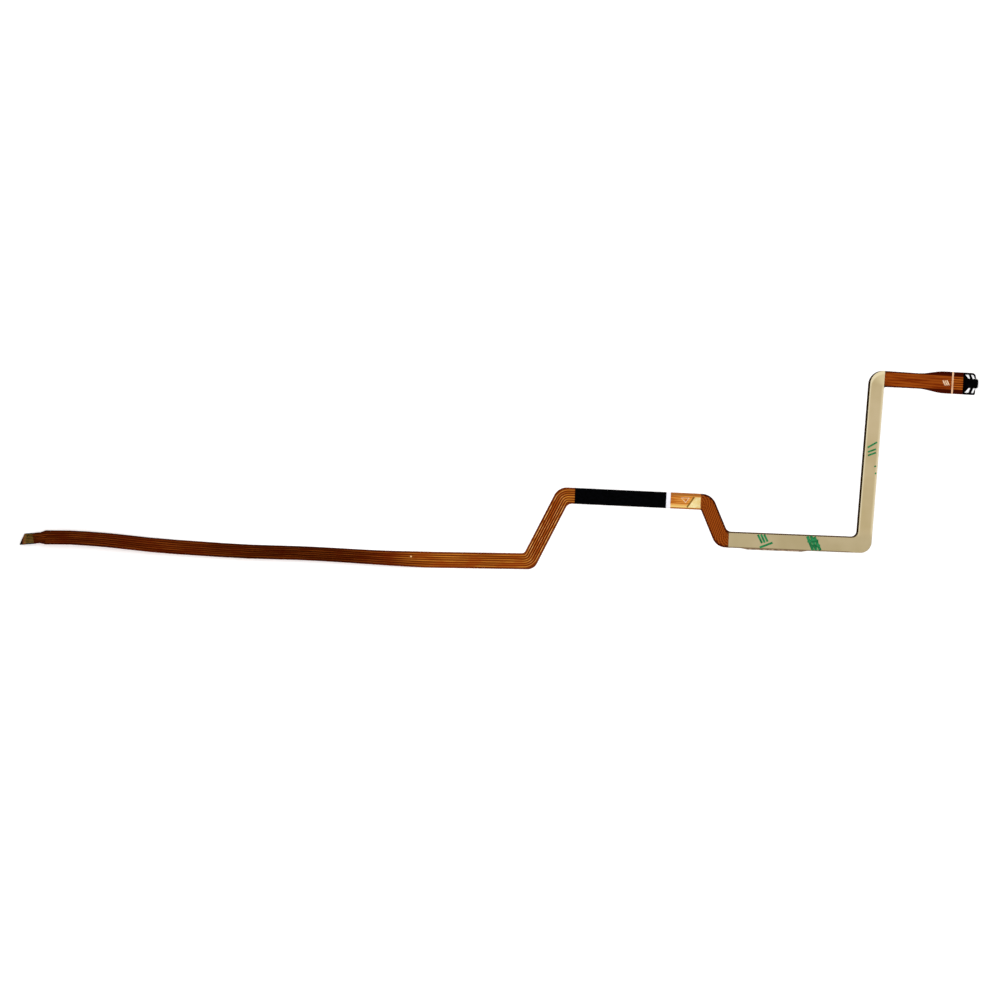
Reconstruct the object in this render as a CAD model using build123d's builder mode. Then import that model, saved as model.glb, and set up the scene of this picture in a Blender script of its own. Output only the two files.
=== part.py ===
from build123d import *
import os
from itertools import pairwise

# Flat flex cable: a die-cut film strip with six copper conductors, a bare contact tail at one end and
# a small moulded connector at the other. It lies with its taped side up. Millimetres and degrees.
#
# The film lies on Z = 0 and its route is drawn in plan. The flat stretch starts at the origin and heads
# along +X, and every layer follows that one route. Left of the start the strip is free: it rolls on to
# one edge, arches, and comes down at the contact tail.

# The strip and its layers, from the underside up
strip_width = 4.6
base_thickness = 0.06
copper_thickness = 0.035
cover_on_copper = 0.045
mesh_thickness = 0.03
mask_on_mesh = 0.05
print_thickness = 0.03

# Runs of the flat stretch: lengths between corners, and the heading of each run
lead_run, lead_heading = 25.4, 1.4
rise_run, rise_heading = 21.4, 65.0
upper_run, upper_heading = 41.3, -0.4
fall_run, fall_heading = 11.6, -65.4
tape_run, tape_heading = 40.8, 0.0
upright_run, upright_heading = 48.1, 87.7
head_run, head_heading = 28.5, -1.0

# At each corner: radius of the middle track's bend, and of the film's cut edge outside and inside the turn
bend_radius = 2.6
outside_radii = [3.1, 4.0, 4.4, 4.1, 3.2, 4.1]
inside_radii = [1.2, 2.0, 0.5, 1.8, 1.6, 0.5]

# How the free stretch lies: distance back from the flat stretch, sideways, rise of its middle, roll,
# and in how many spans it is lofted from the place before
free_lie = [
    (7.0, -0.10, 0.47, 11.0, 6),
    (14.5, -0.10, 0.92, 23.0, 6),
    (25.0, 0.07, 1.12, 29.0, 4),
    (41.5, 0.30, 1.20, 31.0, 3),
    (55.5, 0.16, 1.20, 30.0, 2),
    (69.5, 0.45, 1.35, 28.0, 2),
    (83.5, 0.95, 1.95, 27.0, 2),
    (97.0, 1.85, 2.75, 28.0, 3),
    (107.0, 2.12, 3.05, 29.5, 2),
    (114.0, 1.90, 2.65, 30.0, 1),
]

# Contact tail, whose end is cut at a slant
tail_length, tail_skew = 7.6, 1.27
tail_heading, tail_dip = 6.3, 12.0
tail_width = 3.5
tail_taper = 1.6
contact_pitch = 0.5
contact_bare = 4.3
contact_margin = 1.2
stiffener_length = 4.8
stiffener_thickness = 0.2

# Conductors
conductor_count = 6
conductor_pitch = 0.65
conductor_width = 0.32

# Black strip on the upper run, and the printed band beside it
strip_start, strip_length, strip_thickness = 3.35, 26.35, 0.25
band_width = 1.25

# Ground mesh, its mask and its bare pad
mesh_edge_margin = 0.3
mesh_past_waist = 1.9
pad_length, pad_slant, pad_to_corner = 3.5, 1.9, 1.7
pad_upper_edge, pad_lower_edge = 1.2, -1.8
pad_thickness = 0.03

# Double-sided tape and its paper liner: set back from the film on the left of each run, and on the
# taped run the tape has a rough lip on the right
tape_start_on_run = 2.0
tape_thickness = 0.10
liner_thickness = 0.09
run_setback = 0.35
upright_setback = 0.6
tape_shoulder_radius = 3.9
lip_start, lip_length, lip_width, lip_slant = 5.5, 19.5, 0.35, 2.0

# Head
head_width = 6.3
head_upper_radius, head_lower_radius = 1.1, 0.5
head_taper_start = 3.0
head_panel_length = 8.9
flare_length, waist_width = 7.6, 4.4
line_to_end, line_width = 6.6, 0.5

# Connector on the head
plate_length, plate_thickness = 3.6, 0.2
body_length, body_width, body_height = 3.6, 2.7, 0.85
body_overhang, body_offset = 0.75, 0.15
body_chamfer, body_corner = 0.15, 0.35

# Terminals: side of the body, then root and foot as place back from the film's end and width
terminal_shapes = [
    (1, (1.85, 0.4), (2.55, 1.0)),
    (1, (0.55, 0.6), (1.05, 0.7)),
    (-1, (1.65, 0.5), (2.45, 1.1)),
    (-1, (0.3, 0.5), (0.8, 0.6)),
]
terminal_span = 5.2
root_height, foot_height = 0.55, 0.15

# Heights worked out from the layers
cover_thickness = copper_thickness + cover_on_copper
cover_top = base_thickness + cover_thickness
mesh_top = cover_top + mesh_thickness
mask_top = mesh_top + mask_on_mesh
tape_top = mask_top + tape_thickness


def direction(heading):
    """Unit vector in plan at a heading."""
    return Vector(1, 0).rotate(Axis.Z, heading)


def corners(runs):
    """Points of a route of (length, heading) runs that starts at the origin."""
    points = [Vector(0, 0)]
    for length, heading in runs:
        points.append(points[-1] + direction(heading) * length)
    return points


def sideways(points, offsets):
    """The route moved to its left by one offset for each run, and mitred at its corners."""
    ways = [(after - before).normalized() for before, after in pairwise(points)]
    lefts = [way.rotate(Axis.Z, 90) for way in ways]
    moved = [points[0] + lefts[0] * offsets[0]]
    for n in range(1, len(ways)):
        step = offsets[n] - offsets[n - 1] * lefts[n - 1].dot(lefts[n])
        along = step / ways[n - 1].dot(lefts[n])
        moved.append(points[n] + lefts[n - 1] * offsets[n - 1] + ways[n - 1] * along)
    moved.append(points[-1] + lefts[-1] * offsets[-1])
    return moved


def ribbon(points, left_offsets, right_offsets, left_radii, right_radii):
    """Sketch of a strip along a route, with its own offsets and corner radii on each side."""
    with BuildSketch() as outline:
        with BuildLine():
            left = FilletPolyline(*sideways(points, left_offsets), radius=left_radii)
            right = FilletPolyline(*sideways(points, right_offsets), radius=right_radii)
            Line(left @ 0, right @ 0)
            Line(left @ 1, right @ 1)
        make_face()
    return outline.sketch


# The route
runs = [
    (lead_run, lead_heading),
    (rise_run, rise_heading),
    (upper_run, upper_heading),
    (fall_run, fall_heading),
    (tape_run, tape_heading),
    (upright_run, upright_heading),
    (head_run, head_heading),
]
route = corners(runs)
turns = [1 if after[1] > before[1] else -1 for before, after in pairwise(runs)]
upper_plane = Plane(origin=route[2], x_dir=direction(upper_heading), z_dir=(0, 0, 1))
head_plane = Plane(origin=route[6], x_dir=direction(head_heading), z_dir=(0, 0, 1))

half_width = strip_width / 2
left_radii = [inner if turn > 0 else outer for turn, inner, outer in zip(turns, inside_radii, outside_radii)]
right_radii = [outer if turn > 0 else inner for turn, inner, outer in zip(turns, inside_radii, outside_radii)]

# Rails of the free stretch, from its flat end back to the tail: its middle and its raised edge
tail_way = Vector(1, 0, 0).rotate(Axis.Y, -tail_dip).rotate(Axis.Z, tail_heading)
middle_points = [Vector(0, 0, 0)] + [Vector(-back, side, rise) for back, side, rise, *_ in free_lie]
free_rolls = [0] + [roll for *_, roll, _ in free_lie]
free_ways = [direction(lead_heading)]
free_ways += [(a - b).normalized() for a, b in zip(middle_points, middle_points[2:])]
free_ways += [tail_way]
raised_points = []
for point, way, roll in zip(middle_points, free_ways, free_rolls):
    level_right = way.cross(Vector(0, 0, 1)).normalized()
    raised_points.append(point + level_right.rotate(Axis((0, 0, 0), way), -roll) * half_width)
rail_ends = [-free_ways[0], -tail_way]
with BuildLine():
    middle_rail = Spline(*middle_points, tangents=rail_ends)
    raised_rail = Spline(*raised_points, tangents=rail_ends)

# Cross planes along the rails, closest where the strip twists most: local X to the strip's left, local Y
# out of its top
chords = [(after - before).length for before, after in pairwise(middle_points)]
places = [0]
for chord, (*_, spans) in zip(chords, free_lie):
    places += [places[-1] + chord / sum(chords) * (n + 1) / spans for n in range(spans)]
free_planes = []
for place in places:
    way = -(middle_rail % place)
    left = middle_rail @ place - raised_rail @ place
    free_planes.append(Plane(origin=middle_rail @ place, x_dir=left - way * left.dot(way), z_dir=way))
tail_plane = Plane(
    origin=middle_points[-1],
    x_dir=tail_way,
    z_dir=tail_way.cross(free_planes[-1].x_dir),
)


def free_sections(bottom, top, width, offset=0):
    """Rectangular cross-sections of one layer, one on each cross plane of the free stretch."""
    sections = []
    for plane in free_planes:
        with BuildSketch(plane) as section:
            with Locations((offset, (bottom + top) / 2)):
                Rectangle(width, top - bottom)
        sections.append(section.sketch)
    return sections


# The film's outline in plan: the strip up to the head, then the head with its waist and flare
strip_route = route[:7] + [route[6] + direction(head_heading) * head_taper_start]
flare_end = head_run - head_panel_length
waist_at = flare_end - flare_length
line_at = head_run - line_to_end


def head_end(start):
    """The head's edge from a place along the head round its two end corners and back."""
    return FilletPolyline(
        (start, head_width / 2),
        (head_run, head_width / 2),
        (head_run, -head_width / 2),
        (start, -head_width / 2),
        radius=[head_upper_radius, head_lower_radius],
    )


with BuildSketch(head_plane) as head_outline:
    with BuildLine():
        Line((head_taper_start, -half_width), (head_taper_start, half_width))
        for side in (1, -1):
            Line((head_taper_start, side * half_width), (waist_at, side * waist_width / 2))
            Spline(
                (waist_at, side * waist_width / 2),
                (flare_end, side * head_width / 2),
                tangents=[(1, 0), (1, 0)],
            )
        head_end(flare_end)
    make_face()
with BuildSketch() as film_outline:
    add(ribbon(strip_route, [half_width] * 7, [-half_width] * 7, left_radii, right_radii))
    add(head_outline.sketch)


def tail_outline(length, height, skew=0):
    """The contact tail's outline on its own plane, back to a length, at a height above the underside."""
    with BuildSketch(tail_plane.offset(height)) as outline:
        Polygon(
            (0, half_width),
            (-tail_taper, tail_width / 2),
            (skew - length, tail_width / 2),
            (-length, -tail_width / 2),
            (-tail_taper, -tail_width / 2),
            (0, -half_width),
            align=None,
        )
    return outline.sketch


# Base film
with BuildPart() as base_film:
    loft(free_sections(0, base_thickness, strip_width), ruled=True)
    extrude(film_outline.sketch, amount=base_thickness)
    extrude(tail_outline(tail_length, 0, tail_skew), amount=base_thickness)

# Conductors, from the bare contacts on the tail to the connector on the head
conductor_run_end = head_run - body_length + body_overhang
middle = (conductor_count - 1) / 2
conductors = {}
tracks = []
for number in range(conductor_count):
    offset = (middle - number) * conductor_pitch
    contact_offset = (middle - number) * contact_pitch
    track_route = route[:7] + [route[6] + direction(head_heading) * conductor_run_end]
    with BuildSketch(Plane.XY.offset(base_thickness)) as track:
        with BuildLine():
            FilletPolyline(
                *sideways(track_route, [offset] * 7),
                radius=[bend_radius - turn * offset for turn in turns],
            )
        trace(line_width=conductor_width)
    with BuildSketch(tail_plane.offset(base_thickness)) as contact:
        with BuildLine():
            Polyline(
                (0, offset),
                (-tail_taper, contact_offset),
                (contact_margin - tail_length, contact_offset),
            )
        trace(line_width=conductor_width)
    with BuildPart() as conductor:
        loft(
            free_sections(base_thickness, base_thickness + copper_thickness, conductor_width, offset),
            ruled=True,
        )
        extrude(track.sketch, amount=copper_thickness)
        extrude(contact.sketch, amount=copper_thickness)
    conductors[f"conductor_{number + 1}"] = conductor.part
    tracks += [track.sketch, contact.sketch]

# Coverlay: fills between the conductors and covers them, up to the bare contacts
comb_sections = []
for plane in free_planes:
    with BuildSketch(plane) as comb:
        with Locations((0, base_thickness + cover_thickness / 2)):
            Rectangle(strip_width, cover_thickness)
        with Locations((0, base_thickness + copper_thickness / 2)):
            with GridLocations(conductor_pitch, 0, conductor_count, 1):
                Rectangle(conductor_width, copper_thickness, mode=Mode.SUBTRACT)
    comb_sections.append(comb.sketch)
with BuildPart() as coverlay:
    loft(comb_sections, ruled=True)
    extrude(film_outline.sketch.moved(Location((0, 0, base_thickness))), amount=cover_thickness)
    extrude(tail_outline(tail_length - contact_bare, base_thickness), amount=cover_thickness)
    for track in tracks:
        extrude(track, amount=copper_thickness, mode=Mode.SUBTRACT)

# Stiffener under the contacts
with BuildPart() as tail_stiffener:
    with BuildSketch(tail_plane.offset(-stiffener_thickness)):
        Polygon(
            (stiffener_length - tail_length, tail_width / 2),
            (tail_skew - tail_length, tail_width / 2),
            (-tail_length, -tail_width / 2),
            (stiffener_length - tail_length, -tail_width / 2),
            align=None,
        )
    extrude(amount=stiffener_thickness)

# Black strip, printed band beside it and printed line on the head
with BuildPart() as black_strip:
    with BuildSketch(upper_plane.offset(cover_top)):
        with Locations((strip_start + strip_length / 2, 0)):
            Rectangle(strip_length, strip_width)
    extrude(amount=strip_thickness)
band_start = strip_start + strip_length
mask_start = band_start + band_width
with BuildPart() as printed_band:
    with BuildSketch(upper_plane.offset(cover_top)):
        with Locations((band_start + band_width / 2, 0)):
            Rectangle(band_width, strip_width)
    extrude(amount=print_thickness)
with BuildPart() as printed_line:
    with BuildSketch(head_plane.offset(cover_top)):
        with Locations((line_at, 0)):
            Rectangle(line_width, head_width)
    extrude(amount=print_thickness)

# Ground mesh on the coverlay, from the band round to the head, and the bare pad in its mask
mesh_route = [route[2] + direction(upper_heading) * (mask_start + mesh_edge_margin)]
mesh_route += route[3:7] + [route[6] + direction(head_heading) * (waist_at + mesh_past_waist)]
mesh_half = half_width - mesh_edge_margin
with BuildPart() as ground_mesh:
    mesh = ribbon(mesh_route, [mesh_half] * 5, [-mesh_half] * 5, left_radii[2:], right_radii[2:])
    extrude(mesh.moved(Location((0, 0, cover_top))), amount=mesh_thickness)
pad_end = upper_run - pad_to_corner
pad_start = pad_end - pad_length
with BuildSketch(upper_plane.offset(mesh_top)) as pad_window:
    Polygon(
        (pad_start, pad_lower_edge),
        (pad_end, pad_lower_edge),
        (pad_end, pad_upper_edge),
        (pad_start + pad_slant, pad_upper_edge),
        align=None,
    )
mask_start_plane = Plane(
    origin=route[2] + direction(upper_heading) * mask_start,
    z_dir=direction(upper_heading),
)
mask_end_plane = Plane(
    origin=route[6] + direction(head_heading) * (line_at - line_width / 2),
    z_dir=direction(head_heading),
)
with BuildPart() as mesh_mask:
    extrude(film_outline.sketch.moved(Location((0, 0, cover_top))), amount=mask_top - cover_top)
    split(bisect_by=mask_start_plane, keep=Keep.TOP)
    split(bisect_by=mask_end_plane, keep=Keep.BOTTOM)
    extrude(pad_window.sketch, amount=mask_on_mesh, mode=Mode.SUBTRACT)
    add(ground_mesh.part, mode=Mode.SUBTRACT)
with BuildPart() as ground_pad:
    extrude(pad_window.sketch, amount=pad_thickness)

# Double-sided tape and its paper liner, round the elbow and over the shoulder, where both end flush with
# the right edge of the upright
tape_route = [route[4] + direction(tape_heading) * tape_start_on_run] + route[5:]
tape_right = sideways(tape_route, [-half_width, -half_width, half_width])[:3]
tape_left = sideways(tape_route, [half_width - run_setback, half_width - upright_setback, half_width])[:3]
with BuildSketch() as tape_outline:
    with BuildLine():
        left = FilletPolyline(
            *tape_left,
            tape_right[2],
            radius=[inside_radii[4] + run_setback, tape_shoulder_radius],
        )
        right = FilletPolyline(*tape_right, radius=outside_radii[4])
        Line(left @ 0, right @ 0)
    make_face()
with BuildPart() as double_sided_tape:
    extrude(tape_outline.sketch.moved(Location((0, 0, mask_top))), amount=tape_thickness)
    with BuildSketch(Plane(origin=route[4], x_dir=direction(tape_heading)).offset(mask_top)):
        Polygon(
            (lip_start, -half_width),
            (lip_start + lip_slant, -half_width - lip_width),
            (lip_start + lip_length - lip_slant, -half_width - lip_width),
            (lip_start + lip_length, -half_width),
            align=None,
        )
    extrude(amount=tape_thickness)
with BuildPart() as release_liner:
    extrude(tape_outline.sketch.moved(Location((0, 0, tape_top))), amount=liner_thickness)

# Black plate on the head, under the connector
plate_top = cover_top + plate_thickness
with BuildPart() as head_plate:
    with BuildSketch(head_plane.offset(cover_top)):
        with BuildLine():
            edge = head_end(head_run - plate_length)
            Line(edge @ 0, edge @ 1)
        make_face()
    extrude(amount=plate_thickness)

# Connector body, which stands a little past the film's end
with BuildPart() as connector_body:
    with BuildSketch(head_plane.offset(plate_top)):
        with Locations((head_run + body_overhang - body_length / 2, body_offset)):
            Rectangle(body_length, body_width)
    extrude(amount=body_height)
    chamfer(connector_body.edges().filter_by(Axis.Z).sort_by(Axis.X)[-2:], length=body_corner)
    chamfer(connector_body.faces().sort_by(Axis.Z)[-1].edges(), length=body_chamfer)

# Terminals: two wedges on each long side of the body, which slope down to their feet on the plate
terminals = {}
for side, (root_back, root_width), (foot_back, foot_width) in terminal_shapes:
    sections = []
    for back, across, width, height in (
        (root_back, body_offset + side * body_width / 2, root_width, root_height),
        (foot_back, side * terminal_span / 2, foot_width, foot_height),
    ):
        place = Location((head_run - back, across, plate_top + height / 2), (90, 0, 0))
        with BuildSketch(Plane(head_plane.location * place)) as section:
            Rectangle(width, height)
        sections.append(section.sketch)
    terminals[f"terminal_{len(terminals) + 1}"] = loft(sections, ruled=True)

pieces = {
    "base_film": base_film.part,
    **conductors,
    "coverlay": coverlay.part,
    "tail_stiffener": tail_stiffener.part,
    "black_strip": black_strip.part,
    "printed_band": printed_band.part,
    "ground_mesh": ground_mesh.part,
    "mesh_mask": mesh_mask.part,
    "ground_pad": ground_pad.part,
    "double_sided_tape": double_sided_tape.part,
    "release_liner": release_liner.part,
    "printed_line": printed_line.part,
    "head_plate": head_plate.part,
    "connector_body": connector_body.part,
    **terminals,
}

# The origin goes under the middle of the cable's box, on the surface that it lies on
box = Compound(list(pieces.values())).bounding_box()
under_middle = Location((-box.center().X, -box.center().Y, -box.min.Z))
os.makedirs("parts", exist_ok=True)
for name, piece in pieces.items():
    placed = piece.moved(under_middle)
    placed.label = name
    export_step(placed, f"parts/{name}.step")
print("size", box.size, "moved by", under_middle.position)
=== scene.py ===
# %% [markdown]
# # A flat flex cable, dressed for its picture
#
# A flex cable is a stack of thin films. Copper tracks lie on an amber base film, an amber cover film is
# pressed over them, and tape, ink and a small connector sit on top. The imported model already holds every
# layer at its true size, so this lesson keeps those layers where they are and gives each one its finish.
#
# Everything is in metres. `MM` turns the cable maker's millimetres into metres.

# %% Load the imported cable
import math

import bmesh
import bpy
from mathutils import Matrix, Vector
from mathutils.bvhtree import BVHTree


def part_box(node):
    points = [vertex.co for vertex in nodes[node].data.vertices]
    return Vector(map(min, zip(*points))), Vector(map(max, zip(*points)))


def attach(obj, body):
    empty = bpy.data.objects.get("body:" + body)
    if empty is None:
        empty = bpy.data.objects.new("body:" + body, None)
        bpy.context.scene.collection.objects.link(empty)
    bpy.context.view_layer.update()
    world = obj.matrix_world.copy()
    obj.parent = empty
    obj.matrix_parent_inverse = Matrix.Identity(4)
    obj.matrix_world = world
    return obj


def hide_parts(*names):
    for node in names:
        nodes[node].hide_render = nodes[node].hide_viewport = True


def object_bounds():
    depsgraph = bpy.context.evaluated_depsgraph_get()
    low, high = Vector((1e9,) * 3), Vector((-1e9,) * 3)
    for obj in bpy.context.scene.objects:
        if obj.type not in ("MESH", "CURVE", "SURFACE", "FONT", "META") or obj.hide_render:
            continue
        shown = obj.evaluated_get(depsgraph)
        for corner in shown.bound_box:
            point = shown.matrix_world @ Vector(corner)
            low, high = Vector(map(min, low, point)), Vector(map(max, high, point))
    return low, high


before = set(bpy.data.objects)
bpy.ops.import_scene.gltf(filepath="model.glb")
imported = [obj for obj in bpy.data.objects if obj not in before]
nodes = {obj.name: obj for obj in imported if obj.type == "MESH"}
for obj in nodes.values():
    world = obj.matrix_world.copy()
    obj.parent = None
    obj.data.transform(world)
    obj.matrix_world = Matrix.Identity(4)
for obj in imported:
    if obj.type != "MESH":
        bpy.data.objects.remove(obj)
cad_low, cad_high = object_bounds()
MM = 0.001
print("layers and parts:", len(nodes))
print("size in mm:", [round(side / MM, 1) for side in cad_high - cad_low])

# %% [markdown]
# ## The strip's own coordinates
#
# Tracks, streaks and the ground hatch all follow the strip round its corners. A pattern in plain X and Y
# would run straight across them. So every film gets a UV map that unrolls the strip: U is the distance
# along it and V the distance from its middle line, both in millimetres.
#
# The route is six corners between straight runs. The runs repeat the sizes that the film was cut to, and
# the route is placed on the cable by the black strip, which lies on the upper run. Each run is a length in
# millimetres and a heading in degrees.

# %% Route of the middle line
RUNS = [(25.4, 1.4), (21.4, 65.0), (41.3, -0.4), (11.6, -65.4), (40.8, 0.0), (48.1, 87.7), (28.5, -1.0)]
UPPER, TAPED, UPRIGHT, HEAD = 2, 4, 5, 6
BEND_RADIUS = 2.6
BLACK_STRIP_MIDDLE = 16.525


def heading(angle):
    """Unit vector in plan at an angle in degrees."""
    return Vector((math.cos(math.radians(angle)), math.sin(math.radians(angle))))


def middle_of(node):
    """The middle of a node's box, in plan and in millimetres."""
    low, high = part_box(node)
    return ((low + high) / 2).xy / MM


upper_corner = middle_of("black_strip") - heading(RUNS[UPPER][1]) * BLACK_STRIP_MIDDLE
run_steps = [heading(angle) * length for length, angle in RUNS]
flat_start = upper_corner - sum(run_steps[:UPPER], Vector((0, 0)))
corners = [flat_start]
for step in run_steps:
    corners.append(corners[-1] + step)
print("flat stretch starts at", [round(c, 2) for c in flat_start])
print("and ends at", [round(c, 2) for c in corners[-1]])

# %% [markdown]
# The film's corners are rounded, so the distance along the strip has to run round each bend. Every run gives
# up a little of its length at both ends, and an arc joins it to the next one. A bend is kept as a centre, a
# heading and a turn, because a distance along it is then one short formula.

# %% Straight parts and bends of the route
bends = []
straights = []
travelled = 0.0
cut_before = 0.0
for number, (length, angle) in enumerate(RUNS):
    way = heading(angle)
    turn = RUNS[number + 1][1] - angle if number + 1 < len(RUNS) else 0.0
    cut_after = BEND_RADIUS * math.tan(math.radians(abs(turn)) / 2)
    straight = length - cut_before - cut_after
    start = corners[number] + way * cut_before
    straights.append((start, way, straight, travelled))
    travelled += straight
    if turn:
        side = math.copysign(1, turn)
        centre = start + way * straight + way.orthogonal() * side * BEND_RADIUS
        bends.append((centre, angle, turn, side, travelled))
        travelled += BEND_RADIUS * math.radians(abs(turn))
    cut_before = cut_after
RISE_AT, UPPER_AT, FALL_AT, TAPED_AT, UPRIGHT_AT, HEAD_AT = [travelled for *_, travelled in straights[1:]]
print("the fall, the taped run, the upright and the head start at",
      [round(place, 1) for place in (FALL_AT, TAPED_AT, UPRIGHT_AT, HEAD_AT)])


def on_run(number, along, across):
    """A point in plan, in millimetres, from a run's first corner."""
    way = heading(RUNS[number][1])
    return corners[number] + way * along + Vector((-way.y, way.x)) * across


# %% [markdown]
# The stretch before the flat start is free: it rolls on to one edge and arches. Its middle line is read
# from the two middle tracks, whose points are sorted along X and averaged.

# %% Middle line of the free stretch
track_points = [v.co / MM for name in ("conductor_3", "conductor_4") for v in nodes[name].data.vertices]
track_points = sorted((p for p in track_points if p.x < flat_start.x + 1), key=lambda p: p.x)
free_line = []
STATION_REACH = 0.6
while track_points:
    near = [p for p in track_points if p.x - track_points[0].x < STATION_REACH]
    track_points = track_points[len(near):]
    free_line.append(sum(near, Vector((0, 0, 0))) / len(near))
free_along = [0.0]
for after, before in zip(free_line[::-1], free_line[-2::-1]):
    free_along.append(free_along[-1] - (after - before).length)
free_along = free_along[::-1]
print("stations on the free stretch:", len(free_line), "and its length", round(-free_along[0], 1), "mm")


# %% [markdown]
# Any point of a film can now be given its place on the strip. On the free stretch it lies between two
# stations, and on the flat stretch by the nearest run or bend. One pair of functions serves every film, so
# patterns line up where one film lies over another.

# %% Place of a point on the strip
RUN_SLACK = 0.001
SWING_SLACK = 0.1


def free_place(point):
    """Along and across for a point on the free stretch."""
    for n in range(len(free_line) - 1):
        if point.x <= free_line[n + 1].x or n == len(free_line) - 2:
            low, high = free_line[n], free_line[n + 1]
            share = (point.x - low.x) / (high.x - low.x)
            middle = low.lerp(high, share)
            along = free_along[n] + (free_along[n + 1] - free_along[n]) * share
            across = math.copysign(math.hypot(point.y - middle.y, point.z - middle.z), point.y - middle.y)
            return along, across


def flat_place(point):
    """Along and across for a point on the flat stretch: the straight or the bend that lies nearest."""
    found = []
    for n, (start, way, straight, travelled) in enumerate(straights):
        step = point.xy - start
        reach = step.dot(way)
        after_start = reach >= -RUN_SLACK or n == 0
        before_end = reach <= straight + RUN_SLACK or n == len(straights) - 1
        if after_start and before_end:
            found.append((travelled + reach, way.x * step.y - way.y * step.x))
    for centre, angle, turn, side, travelled in bends:
        arm = point.xy - centre
        swing = math.degrees(math.atan2(arm.y, arm.x)) - (angle - 90 * side)
        swing = (swing * side + 180) % 360 - 180
        if -SWING_SLACK <= swing <= abs(turn) + SWING_SLACK:
            found.append((travelled + BEND_RADIUS * math.radians(swing), (BEND_RADIUS - arm.length) * side))
    return min(found, key=lambda place: abs(place[1]))


def strip_place(point):
    """Along and across, in millimetres, for a point of the frame in metres."""
    point = point / MM
    return free_place(point) if point.x < flat_start.x else flat_place(point)


print("last corner along the strip:", [round(c, 1) for c in strip_place(corners[HEAD].to_3d() * MM)])

# %% [markdown]
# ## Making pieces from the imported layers
#
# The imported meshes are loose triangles. A copy is merged first, and its flat faces are joined, so that
# operators such as bevel find real edges. The copy then keeps the layer's true form.


# %% Copy, finish and hand over a piece
MERGE = 0.0005 * MM
FLAT_WITHIN = math.radians(0.05)
SMOOTH_BELOW = math.radians(30)


def copy_of(name, join_flat=True):
    """A bmesh with a node's merged mesh."""
    shape = bmesh.new()
    shape.from_mesh(nodes[name].data)
    bmesh.ops.remove_doubles(shape, verts=shape.verts, dist=MERGE)
    if join_flat:
        bmesh.ops.dissolve_limit(
            shape,
            angle_limit=FLAT_WITHIN,
            verts=shape.verts,
            edges=shape.edges,
            delimit={"NORMAL"},
        )
    shape.normal_update()
    return shape


def finished(shape, name, materials, stands_for=()):
    """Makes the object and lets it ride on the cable."""
    for face in shape.faces:
        face.smooth = True
    for edge in shape.edges:
        edge.smooth = len(edge.link_faces) == 2 and edge.calc_face_angle() < SMOOTH_BELOW
    mesh = bpy.data.meshes.new(name)
    shape.to_mesh(mesh)
    shape.free()
    piece = bpy.data.objects.new(name, mesh)
    bpy.context.scene.collection.objects.link(piece)
    for material in materials:
        mesh.materials.append(material)
    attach(piece, "root")
    if stands_for:
        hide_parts(*stands_for)
    print(name, len(mesh.polygons), "faces")
    return piece


def unroll(shape):
    """Writes the strip's own coordinates to a bmesh as its UV map."""
    layer = shape.loops.layers.uv.new("strip")
    for face in shape.faces:
        for loop in face.loops:
            loop[layer].uv = strip_place(loop.vert.co)


print("points closer than", round(MERGE / MM, 4), "mm are merged")

# %% [markdown]
# ## Node helpers
#
# A finish starts from a Principled shader. Its colour is seldom one flat tone: a noise mixes two tones, and
# a second one drives the roughness. The helpers below keep each material short to read.
#
# A Mix node has sockets for numbers, vectors and colours, all of the same names, so the colour ones are
# picked by their number.

# %% Small helpers for node trees
COLOUR_A, COLOUR_B, COLOUR_OUT = 6, 7, 2
GRAIN_RANGE = (0.35, 0.65)
WEAR_RANGE = (0.3, 0.7)
LEAN_STARTS = 0.985
LEAN_ENDS = 0.90
# The lean tint is a painted shade for films that lean away from straight up.
LEAN_SHADE_TINT = (0.85, 0.52, 0.55, 1.0)


def tone(red, green, blue):
    """A colour from screen values of 0 to 255."""
    return tuple(
        (c / 255 / 12.92) if c / 255 <= 0.04045 else ((c / 255 + 0.055) / 1.055) ** 2.4
        for c in (red, green, blue)
    ) + (1.0,)


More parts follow.
